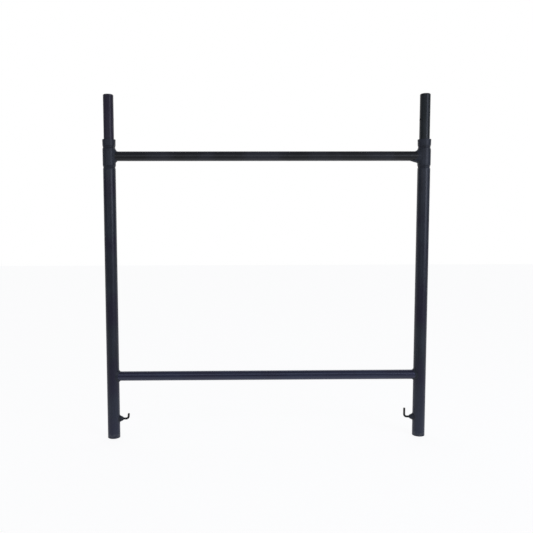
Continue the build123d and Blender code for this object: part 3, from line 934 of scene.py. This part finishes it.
# ------------------------------------------------------------------- the add-on
class ScaffoldSizes(bpy.types.PropertyGroup):
    leg_diameter: FloatProperty(
        name="Leg diameter", description="Outside of a leg tube", default=41.3 * MM, unit="LENGTH"
    )
    leg_wall: FloatProperty(
        name="Leg wall", description="Thickness of a leg's wall", default=2.6 * MM, unit="LENGTH"
    )
    mouth_flare: FloatProperty(
        name="Mouth flare", description="How far the leg's top edge stands out", default=1.2 * MM,
        unit="LENGTH",
    )
    crimped_swell: FloatProperty(
        name="Crimped swell", description="How far the crimped top of the leg stands out", default=0.7 * MM,
        unit="LENGTH",
    )
    flare_length: FloatProperty(
        name="Flare length", description="Height over which the mouth opens", default=14 * MM, unit="LENGTH"
    )
    crossbar_diameter: FloatProperty(
        name="Crossbar diameter", description="Outside of a crossbar tube", default=31.75 * MM, unit="LENGTH"
    )
    crimp_depth: FloatProperty(
        name="Crimp depth", description="Depth of each dimple", default=1.9 * MM, unit="LENGTH"
    )
    crimp_tool_radius: FloatProperty(
        name="Crimp tool radius", description="Radius of the tool that strikes a dimple", default=13 * MM,
        unit="LENGTH",
    )
    upper_crimp_drop: FloatProperty(
        name="Upper crimps", description="Upper row, below the leg's top", default=26 * MM, unit="LENGTH"
    )
    lower_crimp_drop: FloatProperty(
        name="Lower crimps", description="Lower row, below the leg's top", default=91 * MM, unit="LENGTH"
    )
    left_crimp_turn: FloatProperty(
        name="Left crimp turn", description="Turn of the left leg's dimples", default=math.radians(-9),
        unit="ROTATION",
    )
    right_crimp_turn: FloatProperty(
        name="Right crimp turn", description="Turn of the right leg's dimples", default=math.radians(60),
        unit="ROTATION",
    )
    upper_weld_leg: FloatProperty(
        name="Upper weld", description="Leg length of the upper welds", default=8 * MM, unit="LENGTH"
    )
    lower_weld_leg: FloatProperty(
        name="Lower weld", description="Leg length of the lower welds", default=6.0 * MM, unit="LENGTH"
    )
    cup_weld_leg: FloatProperty(
        name="Cup weld", description="Leg length of the lock cups' welds", default=4.5 * MM, unit="LENGTH"
    )
    ripple_pitch: FloatProperty(
        name="Ripple pitch", description="Distance from one weld ripple to the next", default=2.8 * MM,
        unit="LENGTH",
    )
    ripple_height: FloatProperty(
        name="Ripple height", description="Height of a weld ripple", default=0.35 * MM, unit="LENGTH"
    )
    spring_wire: FloatProperty(
        name="Spring wire", description="Thickness of the lock springs' wire", default=0.8 * MM, unit="LENGTH"
    )
    spring_radius: FloatProperty(
        name="Spring radius", description="Radius of the first coil, on the washer", default=5 * MM,
        unit="LENGTH",
    )
    spring_taper: FloatProperty(
        name="Spring taper", description="How much closer to the rod the last coil runs", default=0.7 * MM,
        unit="LENGTH",
    )
    spring_turns: FloatProperty(name="Spring turns", description="Turns of the wire", default=2.5)
    lock_travel: FloatProperty(
        name="Lock travel", description="How far the washer is drawn towards the spring's far end",
        default=3.5 * MM, unit="LENGTH",
    )
    seed: IntProperty(name="Seed", description="Picks the unevenness of crimps and welds", default=11)


class ScaffoldColours(bpy.types.PropertyGroup):
    paint: FloatVectorProperty(
        name="Paint", description="Navy-black enamel", size=4, subtype="COLOR", default=linear("#2C2E35")
    )
    paint_light: FloatVectorProperty(
        name="Thin paint", description="Enamel where the coat is thin", size=4, subtype="COLOR",
        default=linear("#3A3F47"),
    )
    paint_violet: FloatVectorProperty(
        name="Violet paint", description="Clouds in the enamel of the legs", size=4, subtype="COLOR",
        default=linear("#2E2A3A"),
    )
    charcoal: FloatVectorProperty(
        name="Charcoal", description="Full coat on the upper crossbar", size=4, subtype="COLOR",
        default=linear("#090A0B"),
    )
    charcoal_light: FloatVectorProperty(
        name="Thin charcoal", description="Rubbed lines on the upper crossbar", size=4, subtype="COLOR",
        default=linear("#191B1C"),
    )
    # The lower crossbar's full and thin coats are tinted blue, a painted reflection of the sky.
    sky_blued_coat: FloatVectorProperty(
        name="Dusty paint", description="Full coat on the lower crossbar", size=4, subtype="COLOR",
        default=linear("#1A1D2C"),
    )
    sky_blued_thin_coat: FloatVectorProperty(
        name="Dust", description="Dusty lines on the lower crossbar", size=4, subtype="COLOR",
        default=linear("#2C3044"),
    )
    dusty_violet: FloatVectorProperty(
        name="Violet dust", description="Clouds on the lower crossbar", size=4, subtype="COLOR",
        default=linear("#242032"),
    )
    plum: FloatVectorProperty(
        name="Plum paint", description="Full coat on the left spigot", size=4, subtype="COLOR",
        default=linear("#2B2832"),
    )
    plum_light: FloatVectorProperty(
        name="Thin plum", description="Enamel where the coat is thin on the left spigot", size=4,
        subtype="COLOR", default=linear("#37323F"),
    )
    olive: FloatVectorProperty(
        name="Olive paint", description="Full coat on the right spigot", size=4, subtype="COLOR",
        default=linear("#242725"),
    )
    olive_light: FloatVectorProperty(
        name="Thin olive", description="Enamel where the coat is thin on the right spigot", size=4,
        subtype="COLOR", default=linear("#2F3538"),
    )
    worn_pull: FloatVectorProperty(
        name="Worn pull", description="Where fingers have worn the pulls", size=4, subtype="COLOR",
        default=linear("#4C4843"),
    )
    steel: FloatVectorProperty(
        name="Bare steel", description="Steel where the paint has worn off", size=4, subtype="COLOR",
        default=linear("#5B5D62"),
    )
    zinc: FloatVectorProperty(
        name="Zinc", description="Zinc plate on the small parts", size=4, subtype="COLOR",
        default=linear("#A9ABAD"),
    )
    floor: FloatVectorProperty(
        name="Floor", description="Pale studio floor", size=4, subtype="COLOR", default=linear("#D2D2D4")
    )


class SCAFFOLD_PT_panel(bpy.types.Panel):
    """Lists the frame's sizes, colours and makers"""

    bl_idname = "SCAFFOLD_PT_panel"
    bl_label = "Scaffold frame"
    bl_space_type = "VIEW_3D"
    bl_region_type = "UI"
    bl_category = "Scaffold"

    def draw(self, context):
        for group in (context.scene.scaffold_sizes, context.scene.scaffold_colours):
            box = self.layout.box()
            for key in group.__annotations__:
                box.prop(group, key)
        for operator in OPERATORS:
            self.layout.operator(operator.bl_idname)


OPERATORS = (
    SCAFFOLD_OT_legs, SCAFFOLD_OT_tubes, SCAFFOLD_OT_welds, SCAFFOLD_OT_locks, SCAFFOLD_OT_springs,
    SCAFFOLD_OT_stage,
)
CLASSES = (ScaffoldSizes, ScaffoldColours, *OPERATORS, SCAFFOLD_PT_panel)


def register():
    for cls in CLASSES:
        bpy.utils.register_class(cls)
    bpy.types.Scene.scaffold_sizes = PointerProperty(type=ScaffoldSizes)
    bpy.types.Scene.scaffold_colours = PointerProperty(type=ScaffoldColours)


def unregister():
    del bpy.types.Scene.scaffold_colours
    del bpy.types.Scene.scaffold_sizes
    for cls in reversed(CLASSES):
        bpy.utils.unregister_class(cls)


def main():
    register()
    bpy.ops.scaffold.legs()
    bpy.ops.scaffold.tubes()
    bpy.ops.scaffold.welds()
    bpy.ops.scaffold.locks()
    bpy.ops.scaffold.springs()
    bpy.ops.scaffold.stage()


if __name__ == "__main__":
    main()
